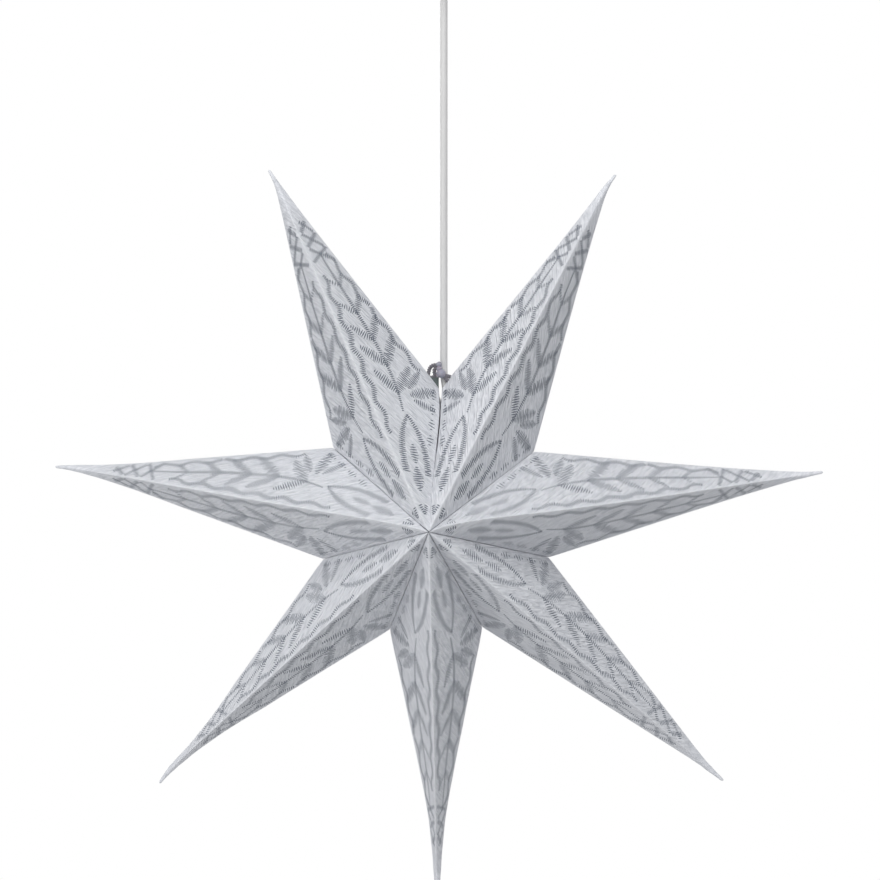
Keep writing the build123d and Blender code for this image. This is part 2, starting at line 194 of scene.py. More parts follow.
# PVC sheath, extruded: pale grey-white, satin, with lengthwise die lines about a millimetre wide.
sheath_line = 0.001
sheath = new_material("pvc_sheath_extruded_pale")
place = add_node(sheath, "ShaderNodeTexCoord")
drawn = add_node(sheath, "ShaderNodeMapping", {"Vector": place.outputs["Object"], "Scale": (1, 1, 0.03)})
lines = add_node(sheath, "ShaderNodeTexNoise",
                 {"Vector": drawn.outputs["Vector"], "Scale": 1 / sheath_line, "Detail": 2.0})
tone = add_node(sheath, "ShaderNodeMix", {0: lines.outputs["Fac"], 6: linear("d4d3d2"), 7: linear("e3e2e0")},
                data_type="RGBA")
relief = add_node(sheath, "ShaderNodeBump",
                  {"Height": lines.outputs["Fac"], "Strength": 0.3, "Distance": 0.0001})
skin = add_node(sheath, "ShaderNodeBsdfPrincipled",
                {"Base Color": tone.outputs[2], "Roughness": 0.4, "IOR": 1.53, "Normal": relief.outputs["Normal"]})
add_node(sheath, "ShaderNodeOutputMaterial", {"Surface": skin.outputs["BSDF"]})
cord_curve.materials.append(sheath)
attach(lamp_cord, "lamp_cord_set")
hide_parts("supply_cord")


# Ceiling cup
# A deep cup that covers the bracket. A bush in its floor runs on the cord, and a set screw in the bush holds
# the cup up against the ceiling.

# ABS, moulded and polished: glossy white with a very slight waviness.
cup_ripple = 0.02
cup_abs = new_material("abs_moulded_glossy_white")
ripple, tone = uneven_tone(cup_abs, cup_ripple, "e6e6e4", "efefee")
relief = add_node(cup_abs, "ShaderNodeBump", {"Height": ripple, "Strength": 0.15, "Distance": 0.0003})
plastic = add_node(cup_abs, "ShaderNodeBsdfPrincipled",
                   {"Base Color": tone, "Roughness": 0.22, "IOR": 1.54, "Normal": relief.outputs["Normal"]})
add_node(cup_abs, "ShaderNodeOutputMaterial", {"Surface": plastic.outputs["BSDF"]})
dress(cup_abs, "ceiling_cup", "cup_bush")


# Lampholder
# A small screw-base holder inside the star. Its cap grips the cord with a grub screw, and its body holds a
# ceramic insert with the two brass contacts.

# PBT, moulded: white, satin, with a spark-eroded grain.
holder_grain = 0.0008
holder_pbt = new_material("pbt_moulded_satin_white")
grain, tone = uneven_tone(holder_pbt, holder_grain, "dfdfdc", "ebebe9", detail=3.0)
relief = add_node(holder_pbt, "ShaderNodeBump", {"Height": grain, "Strength": 0.3, "Distance": 0.00008})
plastic = add_node(holder_pbt, "ShaderNodeBsdfPrincipled",
                   {"Base Color": tone, "Roughness": 0.48, "IOR": 1.55, "Normal": relief.outputs["Normal"]})
add_node(holder_pbt, "ShaderNodeOutputMaterial", {"Surface": plastic.outputs["BSDF"]})
dress(holder_pbt, "holder_cap", "holder_body")

# Steatite, pressed and fired: dense off-white ceramic with a dull gloss and small darker specks.
speck = 0.0012
steatite = new_material("steatite_fired")
_, tone = uneven_tone(steatite, speck, "d2cec4", "e4e1d8", detail=4.0)
ceramic = add_node(steatite, "ShaderNodeBsdfPrincipled", {"Base Color": tone, "Roughness": 0.33, "IOR": 1.59})
add_node(steatite, "ShaderNodeOutputMaterial", {"Surface": ceramic.outputs["BSDF"]})
dress(steatite, "holder_insert")

# Spring brass, stamped: yellow metal, lightly tarnished in clouds a few millimetres wide.
tarnish = 0.003
brass = new_material("brass_stamped")
clouds, tone = uneven_tone(brass, tarnish, "b8924a", "dcbb74", detail=3.0)
gloss = add_node(brass, "ShaderNodeMapRange", {"Value": clouds, "To Min": 0.22, "To Max": 0.4})
metal = add_node(brass, "ShaderNodeBsdfPrincipled",
                 {"Base Color": tone, "Metallic": 1.0, "Roughness": gloss.outputs["Result"]})
add_node(brass, "ShaderNodeOutputMaterial", {"Surface": metal.outputs["BSDF"]})
dress(brass, "side_contact", "centre_contact")


# Bulb
# A clear golf-ball bulb with a small screw base. Its glass stem carries two coated filament sticks.

# Nickel plating on rolled brass: bright warm-grey metal with light scuffs along the thread.
scuff = 0.0015
nickel = new_material("nickel_plated_brass_rolled")
scuffs, tone = uneven_tone(nickel, scuff, "b0aba2", "cdc8bf", detail=4.0)
gloss = add_node(nickel, "ShaderNodeMapRange", {"Value": scuffs, "To Min": 0.14, "To Max": 0.32})
metal = add_node(nickel, "ShaderNodeBsdfPrincipled",
                 {"Base Color": tone, "Metallic": 1.0, "Roughness": gloss.outputs["Result"]})
add_node(nickel, "ShaderNodeOutputMaterial", {"Surface": metal.outputs["BSDF"]})
dress(nickel, "bulb_shell", "bulb_tip")

# Black glass, pressed: deep glossy black with a slightly uneven skin.
pressing = 0.002
black_glass = new_material("vitrite_glass_pressed")
waves, tone = uneven_tone(black_glass, pressing, "0c0c10", "1a1a20")
relief = add_node(black_glass, "ShaderNodeBump", {"Height": waves, "Strength": 0.3, "Distance": 0.0001})
glass = add_node(black_glass, "ShaderNodeBsdfPrincipled",
                 {"Base Color": tone, "Roughness": 0.12, "Normal": relief.outputs["Normal"]})
add_node(black_glass, "ShaderNodeOutputMaterial", {"Surface": glass.outputs["BSDF"]})
dress(black_glass, "bulb_insulator")

# Soda-lime glass, blown: clear, with the faint waviness of a blown wall.
blown_wave = 0.012
clear_glass = new_material("soda_lime_glass_blown")
place = add_node(clear_glass, "ShaderNodeTexCoord")
waves = add_node(clear_glass, "ShaderNodeTexNoise",
                 {"Vector": place.outputs["Object"], "Scale": 1 / blown_wave, "Detail": 1.0})
relief = add_node(clear_glass, "ShaderNodeBump",
                  {"Height": waves.outputs["Fac"], "Strength": 0.08, "Distance": 0.0004})
glass = add_node(clear_glass, "ShaderNodeBsdfPrincipled",
                 {"Base Color": linear("f6f8f8"), "Roughness": 0.02, "IOR": 1.52, "Transmission Weight": 1.0,
                  "Normal": relief.outputs["Normal"]})
add_node(clear_glass, "ShaderNodeOutputMaterial", {"Surface": glass.outputs["BSDF"]})
dress(clear_glass, "bulb_globe", "bulb_stem")

# Phosphor in silicone, dipped: matt egg-yolk yellow, a little lumpy.
lump = 0.0008
phosphor = new_material("phosphor_silicone_dipped")
lumps, tone = uneven_tone(phosphor, lump, "d9a53a", "eec263")
relief = add_node(phosphor, "ShaderNodeBump", {"Height": lumps, "Strength": 0.5, "Distance": 0.0001})
coat = add_node(phosphor, "ShaderNodeBsdfPrincipled",
                {"Base Color": tone, "Roughness": 0.7, "Normal": relief.outputs["Normal"]})
add_node(phosphor, "ShaderNodeOutputMaterial", {"Surface": coat.outputs["BSDF"]})
dress(phosphor, "bulb_filament_1", "bulb_filament_2")


# Paper arms
# Seven pockets, each folded from one sheet of stiff paper: four facets that meet in a front and a back ridge
# and two side folds, a glue flap along the open base and a tip that is rolled to a thin blunt end. Glued flap
# to flap they make the star. The seam between the first and the last arm stays open for the cord.

star_centre = np.array(next(j for j in frame["joints"] if j["name"] == "star_fold")["pos_m"])
arm_names = [f"arm_{number}" for number in range(1, 8)]
half_depth = 0.095             # star's centre to its front apex
facet_reach = 0.292            # star's centre to where an arm's flat facets would meet
tip_reach = 0.300
tip_start = 0.2835             # where the facets end in the roll
valley_radius = 0.0925         # star's centre to a valley's corner, on an evenly spread star
seam_angle = 2.1               # open seam, in degrees clockwise from straight up
seam_rise = 0.009              # how much further out the seam's corner stands
paper = 0.0004
flap_width = 0.012
arm_gap = 0.0003               # between the flaps of neighbouring arms
ridge_round = 0.0016           # the ridges' soft folds, to each side
side_round = 0.0009            # the side folds are creased harder
fold_round = 0.0006
cord_hole = 0.00505            # radius of the cut-out round the cord, at the seam's corner
roll_half = 0.0023             # half of an arm's width where its roll begins
arm_half = 0.042               # half of an arm's width between its valleys
arm_half_reach = 0.083         # and how far out that is

# How the hand-folded arms hang, arm by arm from the upper right one clockwise, in mm or as a share of the width.
arm_bows = (0.7, -0.2, 0.3, 0.7, -0.6, -0.75, 2.4)           # sideways bend towards the tip
tip_leans = (2.4, -0.3, -0.4, 0.0, -2.2, -1.1, -1.4)         # and of the rolled end alone
lean_start = 0.28                                            # which begins here
arm_pinches = (0.04, 0.05, -0.02, 0.30, 0.15, 0.06, 0.0)     # how much narrower the arm is pinched before its roll
pinch_shape = ((0.095, 0.116, 0.162, 0.209, 0.236, 0.259, 0.284), (0, 0.09, 0.34, 0.8, 1, 0.75, 0))
tip_pinches = (0.0, 0.0, 0.0, 0.12, 0.23, 0.09, 0.0)         # and right behind the roll
tip_pinch_shape = ((0.200, 0.265, 0.284), (0, 1, 0))
ridge_bends = (0.0, -3.4, 0.0, 0.0, 0.0, 1.6, 0.0)           # sideways bend of the front ridge near the centre
bend_reach = 0.034                                           # where that bend is widest

# How far each glued corner sits to the right and up of its even place, in mm.
valley_shifts = ((-1.5, -1.0), (1.0, -0.9), (-0.4, -0.3), (0.2, -1.9), (1.0, -2.4), (-2.4, 0.1))

# The open seam: its front edges wander to the right by the second row at the first row's mm up the seam, and
# part in its upper half. The last arm's edges lap over the first one's, in front below that slit, at the back
# nearly up to the corner.
seam_path = ((0, 24, 38, 50, 61, 72, 83, 94, 100), (0, -0.9, 0, 0.6, 1.1, 1.5, 1.5, 0.7, 0))
seam_fade = 0.008              # how far from the seam the paper still follows
seam_slit = 0.0004
slit_shape = ((0.045, 0.065, 0.09, 0.1), (0, 1, 1, 0))
seam_lap = 0.0009
lap_fade = 0.0015
front_run_out = 0.045          # the front lap runs out over this length of the seam
back_run_out = 0.006           # and the back one over this length
seam_parts = {1: 0.0016, 7: -0.0009}                         # how far the two corners stand to the right
corner_lifts = {1: 0.0025, 7: 0.0008}                        # and how far the string draws them up
corner_fade = 0.0055
depth_axis = np.array([0.0, 1.0, 0.0])


def outwards(angle):
    """Unit vector in the star's middle plane, clockwise from straight up as seen from the front."""
    return np.array([sin(radians(angle)), 0.0, cos(radians(angle))])


def tip_angle(name):
    """Direction of a packed arm's tip, in degrees."""
    far = max((np.array(v.co) - star_centre for v in nodes[name].data.vertices), key=np.linalg.norm)
    return np.degrees(atan2(far[0], far[2])) % 360


def valley_reach(half_gap):
    """Distance of a valley's corner from the centre: the side folds keep their length however the arms hang."""
    even = pi / len(arm_names)
    fold_squared = facet_reach**2 + valley_radius**2 - 2 * facet_reach * valley_radius * cos(even)
    return facet_reach * cos(half_gap) - sqrt(fold_squared - (facet_reach * sin(half_gap))**2)


arm_angles = [tip_angle(name) for name in arm_names]
valleys = []
for before, after, (right, up) in zip(arm_angles, arm_angles[1:], valley_shifts):
    even_corner = outwards((before + after) / 2) * valley_reach(radians(after - before) / 2)
    valleys.append(even_corner + np.array([right, 0.0, up]) / 1000)
seam_half_gap = radians(arm_angles[0] + 360 - arm_angles[-1]) / 2
seam_corner = outwards(seam_angle) * (valley_reach(seam_half_gap) + seam_rise)
arm_sides = [seam_corner] + valleys + [seam_corner]
front_apex, back_apex = -half_depth * depth_axis, half_depth * depth_axis
rng = np.random.default_rng(7)


def unit(vector):
    """The vector at length one."""
    return vector / np.linalg.norm(vector)


def make_facet(ridge_foot, fold_foot, apex, inside):
    """One flat face of an arm, with the slight swell that its paper takes."""
    normal = unit(np.cross(fold_foot - ridge_foot, apex - ridge_foot))
    if normal @ (inside - ridge_foot) > 0:
        normal = -normal
    along = unit(apex - ridge_foot)
    across = unit(fold_foot - ridge_foot - along * ((fold_foot - ridge_foot) @ along))
    return {"ridge": ridge_foot, "fold": fold_foot, "apex": apex, "normal": normal, "along": along, "across": across,
            "swell": rng.uniform(-0.0002, 0.0008), "phase": rng.uniform(0, tau, 2)}


def on_facet(facet, outward, sideways, lift=0.0):
    """Points on a facet: outward runs from the valley (0) to the apex (1), sideways from the ridge to the fold."""
    s, c = np.asarray(outward)[:, None], np.asarray(sideways)[:, None]
    flat = s * facet["apex"] + (1 - s) * ((1 - c) * facet["ridge"] + c * facet["fold"])
    held = np.sin(pi * np.clip(c, 0, 1)) * np.clip(4 * s * (1 - s), 0, 1)**0.7
    ripple = 0.00025 * np.sin(tau * (2.6 * s + 0.5 * c) + facet["phase"][0])
    ripple += 0.00015 * np.sin(tau * (1.1 * c - 4.3 * s) + facet["phase"][1])
    return flat + facet["normal"] * (held * (facet["swell"] + ripple) + np.asarray(lift)[..., None])


def settle(points, number):
    """Moves points of a straight arm to where the hand-folded arm really hangs."""
    along = outwards(arm_angles[number - 1])
    across = np.array([along[2], 0.0, -along[0]])
    reach, side = points @ along, points @ across
    half_width = np.maximum(arm_half * (facet_reach - reach) / (facet_reach - arm_half_reach), 0.0015)
    swelling = np.where(reach < tip_start, np.sqrt(1 + (roll_half / half_width)**2), 1.0)
    pinch = arm_pinches[number - 1] * np.interp(reach, *pinch_shape)
    pinch += tip_pinches[number - 1] * np.interp(reach, *tip_pinch_shape)
    bow = arm_bows[number - 1] / 1000 * (np.clip(reach, 0, None) / tip_start)**2
    lean = tip_leans[number - 1] / 1000 * (np.clip(reach - lean_start, 0, None) / (tip_reach - lean_start))**2
    moved = side * swelling * (1 - pinch) + bow + lean
    points = points + (moved - side)[:, None] * across
    at_ridge = np.clip(-points[:, 1] / (half_depth * np.clip(1 - reach / facet_reach, 0.05, 1)), 0, 1)
    at_ridge *= np.clip(1 - np.abs(np.arctan2(side, reach)) * len(arm_names) / pi, 0, 1)
    bend = ridge_bends[number - 1] / 1000 * np.clip(reach / bend_reach, 0, None) * np.exp(1 - reach / bend_reach)
    points = points + (bend * at_ridge)[:, None] * across
    if number in seam_parts:
        seam = outwards(seam_angle)
        seam_right = np.array([seam[2], 0.0, -seam[0]])
        up_seam, beside = points @ seam, np.abs(points @ seam_right)
        front = points[:, 1] < 0
        slit = seam_slit * np.interp(up_seam, *slit_shape)
        wander = np.interp(up_seam * 1000, *seam_path) / 1000 + (slit if number == 1 else -slit)
        points = points + (front * wander * np.exp(-beside / seam_fade))[:, None] * seam_right
        if number == 7:
            below_corner = np.linalg.norm(seam_corner) - up_seam
            closed = np.exp(-beside / lap_fade)
            closed *= np.clip(np.where(front, 1.25 - up_seam / front_run_out, below_corner / back_run_out), 0, 1)
            over = seam_right + np.where(front, -0.5, 0.5)[:, None] * depth_axis
            points = points + (closed * seam_lap)[:, None] * over
        near = np.exp(-(np.linalg.norm(points - seam_corner, axis=1) / corner_fade)**2)
        points = points + near[:, None] * np.array([seam_parts[number], 0.0, corner_lifts[number]])
    return points


facet_columns = 9
arc_points = 3
widest_round = 0.22            # a fold's rounding takes at most this share of a face
ring_size = 4 * (facet_columns + arc_points)


def arm_ring(facets, outward, corners=None):
    """Points once round an arm: a rounded corner before each of its four faces."""
    if corners is None:
        corners = [f["apex"] * outward + f[end] * (1 - outward) for f, end in zip(facets, ("ridge", "fold") * 2)]
    # The ridges get softer towards the centre and sharp again where the arms meet.
    rounds = (ridge_round * (1 + 1.3 * (1 - outward)**3) * min(0.1 + outward / 0.08, 1), side_round) * 2
    points = []
    for j, corner in enumerate(corners):
        before, after = corners[j - 1] - corner, corners[(j + 1) % 4] - corner
        start = corner + before * min(rounds[j] / np.linalg.norm(before), widest_round)
        this_round = min(rounds[j] / np.linalg.norm(after), widest_round)
        end = corner + after * this_round
        for t in np.linspace(0, 1, arc_points + 2)[1:-1]:
            points.append((1 - t)**2 * start + 2 * t * (1 - t) * corner + t**2 * end)
        next_round = min(rounds[(j + 1) % 4] / np.linalg.norm(after), widest_round)
        shares = np.linspace(this_round, 1 - next_round, facet_columns)
        flat = corner + shares[:, None] * after
        if 0 < outward < 1:
            sideways = shares if j % 2 == 0 else 1 - shares
            flat = on_facet(facets[j], np.full(facet_columns, outward), sideways)
        points += list(flat)
    return np.array(points)


def arm_mesh(number, angle, left_valley, right_valley):
    """Paper pocket as one folded sheet, from the inner edge of its flaps to the end of its rolled tip."""
    along = outwards(angle)
    across = np.array([along[2], 0.0, -along[0]])
    apex = along * facet_reach
    inside = along * valley_radius
    facets = [make_facet(foot, valley, apex, inside) for foot, valley in (
        (front_apex, right_valley), (back_apex, right_valley), (back_apex, left_valley), (front_apex, left_valley))]

    def base_corners(depth):
        """The base's corners, moved along the valley planes by a flap's depth."""
        corners = []
        for foot, inward in ((front_apex, depth_axis), (back_apex, -depth_axis)):
            corners.append(foot + inward * depth * sqrt(half_depth**2 + valley_radius**2) / valley_radius
                           + along * arm_gap / 2 / sin(pi / len(arm_names)))
        for valley in (right_valley, left_valley):
            reach = np.linalg.norm(valley)
            towards_arm = unit(along - valley * (along @ valley) / reach**2)
            corners.append(valley - valley / reach * depth * sqrt(half_depth**2 + reach**2) / half_depth
                           + towards_arm * arm_gap / 2)
        return [corners[0], corners[2], corners[1], corners[3]]

    fold = base_corners(0.0)
    in_flap = base_corners(fold_round)
    past_fold = [c + unit(apex - c) * fold_round for c in fold]
    eased = [0.5 * c + 0.25 * (a + b) for c, a, b in zip(fold, in_flap, past_fold)]
    rings = [arm_ring(facets, 0.0, corners) for corners in (base_corners(flap_width), in_flap, eased, past_fold)]
    stations = np.concatenate([np.linspace(0.012, 0.9, 46), np.linspace(0.912, 0.944, 5)])
    rings += [arm_ring(facets, s) for s in stations]

    last = rings[-1]
    spread = np.stack([last @ across, last[:, 1]], axis=1)
    spread /= np.abs(spread).max(axis=0)
    spread /= np.linalg.norm(spread, axis=1)[:, None]
    # The roll: distances from the centre, and its radius there.
    roll = [(0.2855, 0.0024), (0.2885, 0.0020), (0.292, 0.0016), (0.2955, 0.00135), (0.298, 0.00118),
            (0.2992, 0.0010), (0.2998, 0.0006), (tip_reach, 0.0002)]
    for reach, radius in roll:
        rings.append(along * reach + radius * (spread[:, :1] * across + spread[:, 1:] * depth_axis))

    verts = settle(np.concatenate(rings), number) + star_centre
    faces, face_facets = [], []
    for k in range(len(rings) - 1):
        for i in range(ring_size):
            j = (i + 1) % ring_size
            faces.append((k * ring_size + i, k * ring_size + j, (k + 1) * ring_size + j, (k + 1) * ring_size + i))
            face_facets.append(i // (facet_columns + arc_points))
    faces.append(tuple(range((len(rings) - 1) * ring_size, len(rings) * ring_size)))
    face_facets.append(0)
    return verts, faces, face_facets, facets


def new_mesh(name, verts, faces):
    """Mesh of points and faces."""
    mesh = bpy.data.meshes.new(name)
    mesh.from_pydata([tuple(v) for v in verts], [], faces)
    return mesh


def shade_smooth(mesh):
    """Shades all faces of a mesh smooth."""
    mesh.polygons.foreach_set("use_smooth", [True] * len(mesh.polygons))


def apply_modifiers(obj):
    """Gives the object the mesh that its modifiers make."""
    graph = bpy.context.evaluated_depsgraph_get()
    mesh = bpy.data.meshes.new_from_object(obj.evaluated_get(graph))
    obj.modifiers.clear()
    obj.data = mesh


# Card-weight paper, calendered and embossed: cool white and matt, with a slanting crepe-like emboss, faint clouds
# from the pulp, and a painted highlight: a whiter strip along the ridges where the soft folds catch the light.
# Rolling has pressed the tips smooth.
emboss_pitch = 0.0019
emboss_slant = radians(-38)
pulp_cloud = 0.018
crease_half = 0.0030
pressed_from, pressed_to = 0.27, 0.287     # where the emboss ends, along the ridge from the star's apex
ridge_highlight_from, ridge_highlight_to = 0.24, 0.285       # and the painted highlight along the ridges, which fades out here
white_paper = new_material("paper_embossed_white")
sheet = add_node(white_paper, "ShaderNodeUVMap", uv_map="sheet")
turned = add_node(white_paper, "ShaderNodeMapping",
                  {"Vector": sheet.outputs["UV"], "Rotation": (0, 0, -emboss_slant)})
drawn = add_node(white_paper, "ShaderNodeMapping", {"Vector": turned.outputs["Vector"], "Scale": (0.2, 1, 1)})
emboss = add_node(white_paper, "ShaderNodeTexNoise",
                  {"Vector": drawn.outputs["Vector"], "Scale": 1 / emboss_pitch, "Detail": 1.5, "Roughness": 0.55,
                   "Distortion": 0.5})
pulp = add_node(white_paper, "ShaderNodeTexNoise",
                {"Vector": sheet.outputs["UV"], "Scale": 1 / pulp_cloud, "Detail": 4.0})
split = add_node(white_paper, "ShaderNodeSeparateXYZ", {"Vector": sheet.outputs["UV"]})
crisp = add_node(white_paper, "ShaderNodeMapRange",
                 {"Value": split.outputs["X"], "From Min": pressed_from, "From Max": pressed_to, "To Min": 1.0,
                  "To Max": 0.12})
relief = add_node(white_paper, "ShaderNodeBump",
                  {"Height": emboss.outputs["Fac"], "Strength": crisp.outputs["Result"], "Distance": 0.0024})
shade = add_node(white_paper, "ShaderNodeMapRange",
                 {"Value": emboss.outputs["Fac"], "From Min": 0.3, "From Max": 0.68})
tone = add_node(white_paper, "ShaderNodeMix", {0: shade.outputs["Result"], 6: linear("d6d8dd"), 7: linear("f2f3f7")},
                data_type="RGBA")
mottle = add_node(white_paper, "ShaderNodeMix",
                  {0: 0.35, 6: tone.outputs[2], 7: pulp.outputs["Fac"]}, data_type="RGBA", blend_type="SOFT_LIGHT")
# Painted highlight: a whiter strip along each ridge, fading out towards the tip, for the light that the soft folds
# catch.
from_ridge = add_node(white_paper, "ShaderNodeMath", {0: split.outputs["Y"]}, operation="ABSOLUTE")
ridge_highlight_fade = add_node(white_paper, "ShaderNodeMapRange",
               {"Value": split.outputs["X"], "From Min": ridge_highlight_from, "From Max": ridge_highlight_to, "To Min": 0.4,
                "To Max": 0.0})
ridge_highlight = add_node(white_paper, "ShaderNodeMapRange",
                  {"Value": from_ridge.outputs[0], "From Min": crease_half * 0.4, "From Max": crease_half,
                   "To Min": ridge_highlight_fade.outputs["Result"], "To Max": 0.0})
ridge_highlighted = add_node(white_paper, "ShaderNodeMix",
                {0: ridge_highlight.outputs["Result"], 6: mottle.outputs[2], 7: linear("f4f5f8")}, data_type="RGBA")
sheet_face = add_node(white_paper, "ShaderNodeBsdfPrincipled",
                      {"Base Color": ridge_highlighted.outputs[2], "Roughness": 0.72, "IOR": 1.47, "Sheen Weight": 0.1,
                       "Sheen Roughness": 0.4, "Normal": relief.outputs["Normal"]})
add_node(white_paper, "ShaderNodeOutputMaterial", {"Surface": sheet_face.outputs["BSDF"]})

# A round rod that cuts the cord's hole, from inside the star to above the seam's corner.
corner_z = star_centre[2] + seam_corner[2]
rod_foot, rod_top = corner_z - 0.05, corner_z + 0.02
rod_sides = 32
rim = [(cord_hole * cos(a), cord_hole * sin(a)) for a in np.arange(rod_sides) * tau / rod_sides]
rod_faces = [tuple(reversed(range(rod_sides))), tuple(range(rod_sides, 2 * rod_sides))]
for j in range(rod_sides):
    n = (j + 1) % rod_sides
    rod_faces.append((j, n, n + rod_sides, j + rod_sides))
cutter_mesh = new_mesh("cord_cutter", [(x, y, z) for z in (rod_foot, rod_top) for x, y in rim], rod_faces)
cutter = add_object("cord_cutter", cutter_mesh)

sharp_fold = radians(35)       # folds sharper than this keep a hard edge
arm_facets = {}
for number, (name, angle) in enumerate(zip(arm_names, arm_angles), 1):
    verts, faces, face_facets, facets = arm_mesh(number, angle, arm_sides[number - 1], arm_sides[number])
    arm_facets[name] = facets
    mesh = new_mesh(f"paper_{name}", verts, faces)
    mesh.validate()
    sheet_uv = mesh.uv_layers.new(name="sheet")
    for polygon, which in zip(mesh.polygons, face_facets):
        facet = facets[which]
        side = 1 if which in (0, 2) else -1
        for loop in polygon.loop_indices:
            point = np.array(mesh.vertices[mesh.loops[loop].vertex_index].co) - star_centre - facet["ridge"]
            sheet_uv.data[loop].uv = (point @ facet["along"], side * (point @ facet["across"]))
    mesh.materials.append(white_paper)
    arm_object = add_object(f"paper_{name}", mesh)
    thickness = arm_object.modifiers.new("paper", "SOLIDIFY")
    thickness.thickness = paper
    thickness.offset = -1
    if number in seam_parts:
        hole = arm_object.modifiers.new("cord hole", "BOOLEAN")
        hole.object = cutter
        hole.operation = "DIFFERENCE"
    apply_modifiers(arm_object)
    shade_smooth(arm_object.data)
    arm_object.data.set_sharp_from_angle(angle=sharp_fold)
    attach(arm_object, name)
    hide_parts(name)
    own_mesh(arm_object)
bpy.data.objects.remove(cutter)


# Ornament
# A silver-grey print on the outside of every arm, in short strokes like stitches. It is drawn once for one facet
# and mirrored at the ridges and the folds. Each arm's print lies on its paper and folds with it.

facet_length, facet_foot, facet_height = 307.05, 108.65, 76.0     # one facet of an evenly spread star, in mm
stroke_pitch = 1.72            # the real strokes stand about 1.1 mm apart: drawn coarser so that they show
stroke_width = 1.1
stroke_end = 0.35              # a stroke's width at its ends, as a share
ink_middle, ink_edge = 0.00012, -0.00002                     # a stroke's height over the paper, in m
ink_clear = 0.0001             # and how much more on the seam arms' uneven paper
fold_margin = 1.7
hole_margin = 0.0005           # bare paper round the cord's hole, in m
facet_middle = 17.5            # the facet's middle line, in degrees from its ridge
print_end = 268.0              # the last stretch before the tip is bare
strokes = []                   # middle x and y, direction, length


def curve_between(*controls):
    """Points on a smooth curve with these controls, from the first to the last."""
    t = np.linspace(0, 1, 60)[:, None]
    a, b, c, d = (np.array(p, float) for p in controls)
    return (1 - t)**3 * a + 3 * t * (1 - t)**2 * b + 3 * t**2 * (1 - t) * c + t**3 * d


def stitch(path, middle_length, end_length=1.1):
    """Rows strokes across a line, longest at its middle."""
    steps = np.linalg.norm(np.diff(path, axis=0), axis=1)
    run = np.concatenate([[0], np.cumsum(steps)])
    count = max(int(run[-1] / stroke_pitch), 2)
    at = np.linspace(0, run[-1], count)
    middle = np.stack([np.interp(at, run, path[:, k]) for k in (0, 1)], axis=1)
    heading = np.gradient(middle, axis=0)
    lengths = end_length + (middle_length - end_length) * np.sin(pi * np.linspace(0.06, 0.94, count))**0.7
    turn = np.arctan2(heading[:, 1], heading[:, 0]) + pi / 2 + rng.normal(0, 0.12, count)
    for (x, y), direction, length in zip(middle, turn, lengths * rng.uniform(0.88, 1.1, count)):
        strokes.append((x, y, direction, length))


def leaf(foot, heading, length, fullness=0.36):
    """Almond leaf, filled with strokes across its middle line."""
    turn = radians(heading)
    ahead = np.array([cos(turn), sin(turn)])
    stitch(np.array(foot) + np.linspace(0, length, 40)[:, None] * ahead, fullness * length, 0.7)


def polar(reach, angle):
    """Point on the facet at a distance from the star's front apex and an angle from the ridge."""
    return reach * cos(radians(angle)), reach * sin(radians(angle))


# Round the centre, one pointed petal on the facet's middle line with two lozenges in it, and a row of dots
# along the valley.
for side in (-1, 1):
    petal = curve_between(polar(15, facet_middle), polar(38, facet_middle + side * 15),
                          polar(74, facet_middle + side * 14.5), polar(97, facet_middle))
    stitch(petal, 6.6)
for reach, length in ((34, 19), (57, 15)):
    leaf(polar(reach, facet_middle), facet_middle, length, 0.5)
for reach in np.arange(76, 124, 14.5):
    leaf(polar(reach, 34.9 - 360 / reach), 35, 8.5, 0.75)

# Along the arm, a laurel sprig in the middle of the facet, its leaves shorter towards the tip.
stem = curve_between((97, 27), (140, 40), (180, 22), (238, 13))
stitch(stem, 4.6)
for share, upper, lower in ((0.13, 29, 25), (0.31, 30, 26), (0.49, 25, 22), (0.66, 19, 17), (0.83, 13, 12)):
    k = int(share * (len(stem) - 1))
    lean = np.degrees(np.arctan2(*(stem[k + 1] - stem[k - 1])[::-1]))
    leaf(stem[k], lean + 42, upper)
    leaf(stem[k], lean - 42, lower)

# In the valley's corner, a fan of three leaves. From there a wavy line runs beside the fold, and another one
# beside the ridge.
for foot, heading, length in (((103, 43), 126, 19), ((108, 42), 92, 27), ((114, 43), 58, 21)):
    leaf(foot, heading, length)
edge_start, edge_end = np.array([facet_foot, facet_height]), np.array([facet_length, 0.0])
edge = (edge_end - edge_start) / np.linalg.norm(edge_end - edge_start)
inward = np.array([edge[1], -edge[0]])
wave_length, wave_height = 23, 2.0
run = np.linspace(22, 140, 200)[:, None]
stitch(edge_start + edge * run + inward * (6.4 + wave_height * np.sin(tau * run / wave_length)), 5.2, 3.0)
run = np.linspace(82, 218, 220)
stitch(np.stack([run, 6.6 + wave_height * np.sin(tau * run / wave_length)], axis=1), 5.6, 3.0)

# Before the tip, a trellis of crossing lines.
half_step = 13.0
trellis_foot = 2.2
for phase in (0, 1):
    zigzag = []
    for k, x in enumerate(np.arange(230, 290, half_step)):
        top = (facet_length - x) * facet_height / (facet_length - facet_foot) - 2.6
        zigzag.append((x, trellis_foot if (k + phase) % 2 else max(top, trellis_foot)))
    zigzag = np.array(zigzag)
    fine = np.linspace(0, len(zigzag) - 1, 160)
    stitch(np.stack([np.interp(fine, range(len(zigzag)), zigzag[:, k]) for k in (0, 1)], axis=1), 4.0, 3.0)

strokes = np.array(strokes)


